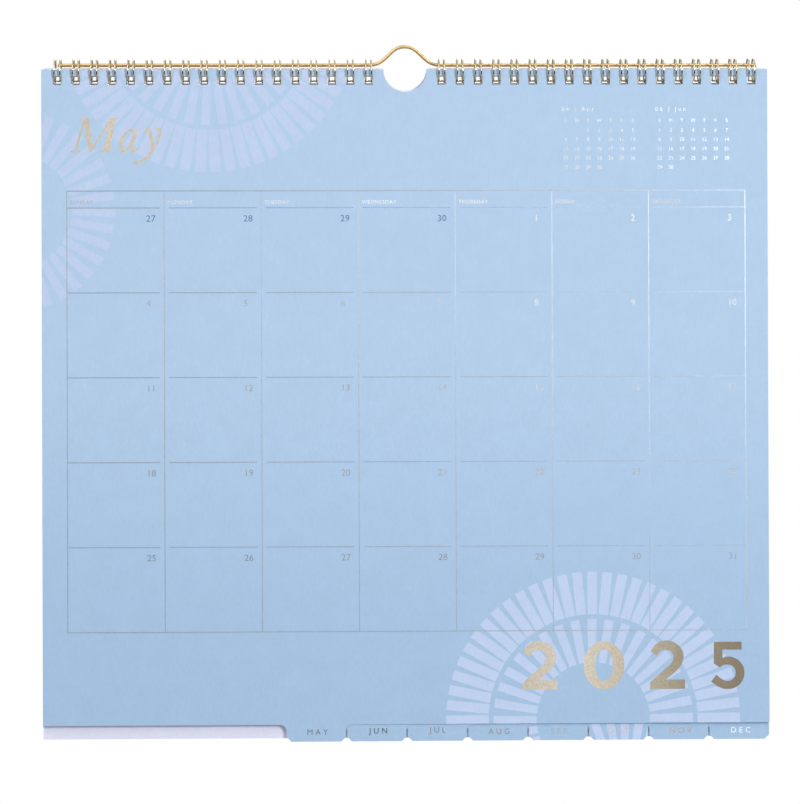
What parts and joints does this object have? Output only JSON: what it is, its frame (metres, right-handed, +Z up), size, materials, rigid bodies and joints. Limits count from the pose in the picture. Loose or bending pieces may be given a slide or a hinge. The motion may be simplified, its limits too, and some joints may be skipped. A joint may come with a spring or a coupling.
{
  "type": "wall calendar",
  "caption": "Wall calendar of tabbed monthly leaves on twin-loop wire, with a humped hanger wire, a thumb cut and a stiff back cover; the front leaf lifts.",
  "frame": {"origin": "the point under the crown of the hanger wire's hump, where it hangs on its nail", "axes": "the printed front faces -Y, +Z is up, +X is to the right as the front is read, and the wall is on the +Y side"},
  "size_m": [0.3364, 0.0122, 0.323],
  "materials": {
    "leaf_paper": "matt coated paper, pale blue",
    "cover_board": "matt white-lined board",
    "binding_wire": "gold-coloured coat on steel wire",
    "hanger_wire": "gold-coloured coat on steel wire"
  },
  "bodies": {
    "hung_calendar": {"following_leaves": "leaf_paper", "back_cover": "cover_board", "turned_leaves": "leaf_paper", "binding_wire_left": "binding_wire", "binding_wire_right": "binding_wire", "hanger_wire": "hanger_wire"},
    "front_leaf": {"may_leaf": "leaf_paper"}
  },
  "joints": [
    {"name": "leaf_turn", "type": "hinge", "parent": "hung_calendar", "child": "front_leaf", "pos_m": [0, -0.0024, -0.01077], "axis": [-1, 0, 0], "range_deg": [0, 90]}
  ]
}
